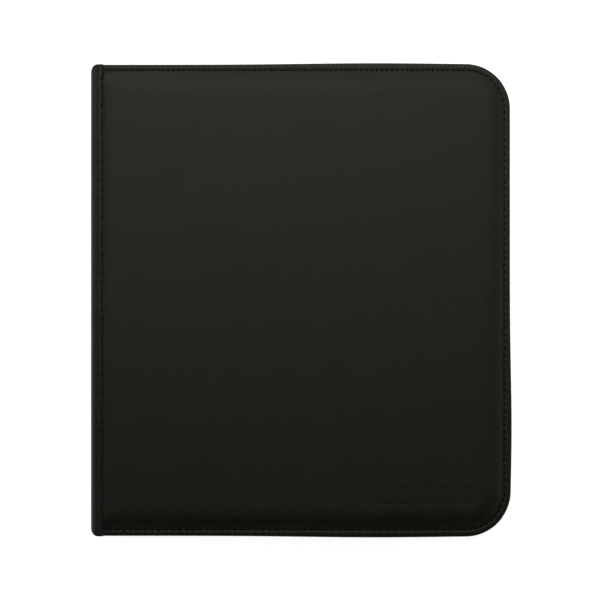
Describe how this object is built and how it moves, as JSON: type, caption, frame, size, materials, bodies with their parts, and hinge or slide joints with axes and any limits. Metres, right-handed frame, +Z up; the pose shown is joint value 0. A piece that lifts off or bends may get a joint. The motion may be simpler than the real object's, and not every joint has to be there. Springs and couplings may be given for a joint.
{
  "type": "zippered trading card binder",
  "caption": "Black padded leatherette zip-around binder with sewn-in side-loading card pocket pages, a rounded fore edge and a fold-flat spine.",
  "frame": {"origin": "on the resting face, under the middle of the closed binder, which lies on its back cover", "axes": "+X from the spine to the fore edge, +Y along the spine towards the head of the pages, +Z up out of the front cover"},
  "size_m": [0.305, 0.343, 0.038],
  "materials": {
    "leatherette": "matte",
    "spine_leatherette": "satin",
    "foam": "matte",
    "greyboard": "matte",
    "lining_cloth": "matte",
    "thread": "satin",
    "zip_tape": "matte",
    "coil_nylon": "satin",
    "stop_metal": "satin",
    "slider_metal": "satin",
    "page_sheet": "gloss"
  },
  "bodies": {
    "back_cover": {"back_skin": "leatherette", "back_padding": "foam", "back_board": "greyboard", "back_lining": "lining_cloth", "back_hinge_strip": "spine_leatherette", "back_edge_thread": "thread", "back_spine_thread": "thread", "back_zip_hem": "zip_tape", "back_zip_tape": "zip_tape", "back_zip_coil": "coil_nylon", "back_zip_stops": "stop_metal"},
    "spine": {"spine_skin": "spine_leatherette", "spine_board": "greyboard", "spine_lining": "lining_cloth", "binding_tape": "page_sheet", "binding_guards": "page_sheet"},
    "front_cover": {"front_skin": "leatherette", "front_padding": "foam", "front_board": "greyboard", "front_lining": "lining_cloth", "front_hinge_strip": "spine_leatherette", "front_edge_thread": "thread", "front_spine_thread": "thread", "front_zip_hem": "zip_tape", "front_zip_tape": "zip_tape", "front_zip_coil": "coil_nylon", "front_zip_stops": "stop_metal"},
    "slider": {"slider_body": "slider_metal", "slider_bridge": "slider_metal"},
    "pull": {"slider_pull": "slider_metal"},
    "page_01_leaf": {"page_01": "page_sheet"},
    "page_02_leaf": {"page_02": "page_sheet"},
    "page_03_leaf": {"page_03": "page_sheet"},
    "page_04_leaf": {"page_04": "page_sheet"},
    "page_05_leaf": {"page_05": "page_sheet"},
    "page_06_leaf": {"page_06": "page_sheet"},
    "page_07_leaf": {"page_07": "page_sheet"},
    "page_08_leaf": {"page_08": "page_sheet"},
    "page_09_leaf": {"page_09": "page_sheet"},
    "page_10_leaf": {"page_10": "page_sheet"},
    "page_11_leaf": {"page_11": "page_sheet"},
    "page_12_leaf": {"page_12": "page_sheet"},
    "page_13_leaf": {"page_13": "page_sheet"},
    "page_14_leaf": {"page_14": "page_sheet"},
    "page_15_leaf": {"page_15": "page_sheet"},
    "page_16_leaf": {"page_16": "page_sheet"},
    "page_17_leaf": {"page_17": "page_sheet"},
    "page_18_leaf": {"page_18": "page_sheet"},
    "page_19_leaf": {"page_19": "page_sheet"},
    "page_20_leaf": {"page_20": "page_sheet"}
  },
  "joints": [
    {"name": "spine_hinge", "type": "hinge", "parent": "back_cover", "child": "spine", "pos_m": [-0.15164, 0, 0.00086], "axis": [0, -1, 0], "range_deg": [0, 90]},
    {"name": "front_hinge", "type": "hinge", "parent": "spine", "child": "front_cover", "pos_m": [-0.15164, 0, 0.03714], "axis": [0, -1, 0], "range_deg": [0, 90]},
    {"name": "page_01_turn", "type": "hinge", "parent": "spine", "child": "page_01_leaf", "pos_m": [-0.1467, 0, 0.03135], "axis": [0, -1, 0], "range_deg": [0, 90]},
    {"name": "page_02_turn", "type": "hinge", "parent": "spine", "child": "page_02_leaf", "pos_m": [-0.14585, 0, 0.03005], "axis": [0, -1, 0], "range_deg": [0, 89.65]},
    {"name": "page_03_turn", "type": "hinge", "parent": "spine", "child": "page_03_leaf", "pos_m": [-0.145, 0, 0.02875], "axis": [0, -1, 0], "range_deg": [0, 89.3]},
    {"name": "page_04_turn", "type": "hinge", "parent": "spine", "child": "page_04_leaf", "pos_m": [-0.14415, 0, 0.02745], "axis": [0, -1, 0], "range_deg": [0, 88.95]},
    {"name": "page_05_turn", "type": "hinge", "parent": "spine", "child": "page_05_leaf", "pos_m": [-0.1433, 0, 0.02615], "axis": [0, -1, 0], "range_deg": [0, 88.6]},
    {"name": "page_06_turn", "type": "hinge", "parent": "spine", "child": "page_06_leaf", "pos_m": [-0.14245, 0, 0.02485], "axis": [0, -1, 0], "range_deg": [0, 88.25]},
    {"name": "page_07_turn", "type": "hinge", "parent": "spine", "child": "page_07_leaf", "pos_m": [-0.1416, 0, 0.02355], "axis": [0, -1, 0], "range_deg": [0, 87.9]},
    {"name": "page_08_turn", "type": "hinge", "parent": "spine", "child": "page_08_leaf", "pos_m": [-0.14075, 0, 0.02225], "axis": [0, -1, 0], "range_deg": [0, 87.55]},
    {"name": "page_09_turn", "type": "hinge", "parent": "spine", "child": "page_09_leaf", "pos_m": [-0.1399, 0, 0.02095], "axis": [0, -1, 0], "range_deg": [0, 87.2]},
    {"name": "page_10_turn", "type": "hinge", "parent": "spine", "child": "page_10_leaf", "pos_m": [-0.13905, 0, 0.01965], "axis": [0, -1, 0], "range_deg": [0, 86.85]},
    {"name": "page_11_turn", "type": "hinge", "parent": "spine", "child": "page_11_leaf", "pos_m": [-0.13905, 0, 0.01835], "axis": [0, -1, 0], "range_deg": [-86.85, 0]},
    {"name": "page_12_turn", "type": "hinge", "parent": "spine", "child": "page_12_leaf", "pos_m": [-0.1399, 0, 0.01705], "axis": [0, -1, 0], "range_deg": [-87.2, 0]},
    {"name": "page_13_turn", "type": "hinge", "parent": "spine", "child": "page_13_leaf", "pos_m": [-0.14075, 0, 0.01575], "axis": [0, -1, 0], "range_deg": [-87.55, 0]},
    {"name": "page_14_turn", "type": "hinge", "parent": "spine", "child": "page_14_leaf", "pos_m": [-0.1416, 0, 0.01445], "axis": [0, -1, 0], "range_deg": [-87.9, 0]},
    {"name": "page_15_turn", "type": "hinge", "parent": "spine", "child": "page_15_leaf", "pos_m": [-0.14245, 0, 0.01315], "axis": [0, -1, 0], "range_deg": [-88.25, 0]},
    {"name": "page_16_turn", "type": "hinge", "parent": "spine", "child": "page_16_leaf", "pos_m": [-0.1433, 0, 0.01185], "axis": [0, -1, 0], "range_deg": [-88.6, 0]},
    {"name": "page_17_turn", "type": "hinge", "parent": "spine", "child": "page_17_leaf", "pos_m": [-0.14415, 0, 0.01055], "axis": [0, -1, 0], "range_deg": [-88.95, 0]},
    {"name": "page_18_turn", "type": "hinge", "parent": "spine", "child": "page_18_leaf", "pos_m": [-0.145, 0, 0.00925], "axis": [0, -1, 0], "range_deg": [-89.3, 0]},
    {"name": "page_19_turn", "type": "hinge", "parent": "spine", "child": "page_19_leaf", "pos_m": [-0.14585, 0, 0.00795], "axis": [0, -1, 0], "range_deg": [-89.65, 0]},
    {"name": "page_20_turn", "type": "hinge", "parent": "spine", "child": "page_20_leaf", "pos_m": [-0.1467, 0, 0.00665], "axis": [0, -1, 0], "range_deg": [-90, 0]},
    {"name": "slider_slide", "type": "slide", "parent": "back_cover", "child": "slider", "axis": [1, 0, 0], "range_m": [0, 0.25]},
    {"name": "pull_swing", "type": "hinge", "parent": "slider", "child": "pull", "pos_m": [-0.1375, -0.16885, 0.019], "axis": [0, 0, -1], "range_deg": [0, 170]}
  ],
  "couplings": [
    {"joint": "front_hinge", "follows": "spine_hinge", "ratio": 1},
    {"joint": "page_01_turn", "follows": "spine_hinge", "ratio": 1},
    {"joint": "page_02_turn", "follows": "spine_hinge", "ratio": 0.9961},
    {"joint": "page_03_turn", "follows": "spine_hinge", "ratio": 0.9922},
    {"joint": "page_04_turn", "follows": "spine_hinge", "ratio": 0.9883},
    {"joint": "page_05_turn", "follows": "spine_hinge", "ratio": 0.9844},
    {"joint": "page_06_turn", "follows": "spine_hinge", "ratio": 0.9806},
    {"joint": "page_07_turn", "follows": "spine_hinge", "ratio": 0.9767},
    {"joint": "page_08_turn", "follows": "spine_hinge", "ratio": 0.9728},
    {"joint": "page_09_turn", "follows": "spine_hinge", "ratio": 0.9689},
    {"joint": "page_10_turn", "follows": "spine_hinge", "ratio": 0.965},
    {"joint": "page_11_turn", "follows": "spine_hinge", "ratio": -0.965},
    {"joint": "page_12_turn", "follows": "spine_hinge", "ratio": -0.9689},
    {"joint": "page_13_turn", "follows": "spine_hinge", "ratio": -0.9728},
    {"joint": "page_14_turn", "follows": "spine_hinge", "ratio": -0.9767},
    {"joint": "page_15_turn", "follows": "spine_hinge", "ratio": -0.9806},
    {"joint": "page_16_turn", "follows": "spine_hinge", "ratio": -0.9844},
    {"joint": "page_17_turn", "follows": "spine_hinge", "ratio": -0.9883},
    {"joint": "page_18_turn", "follows": "spine_hinge", "ratio": -0.9922},
    {"joint": "page_19_turn", "follows": "spine_hinge", "ratio": -0.9961},
    {"joint": "page_20_turn", "follows": "spine_hinge", "ratio": -1}
  ]
}
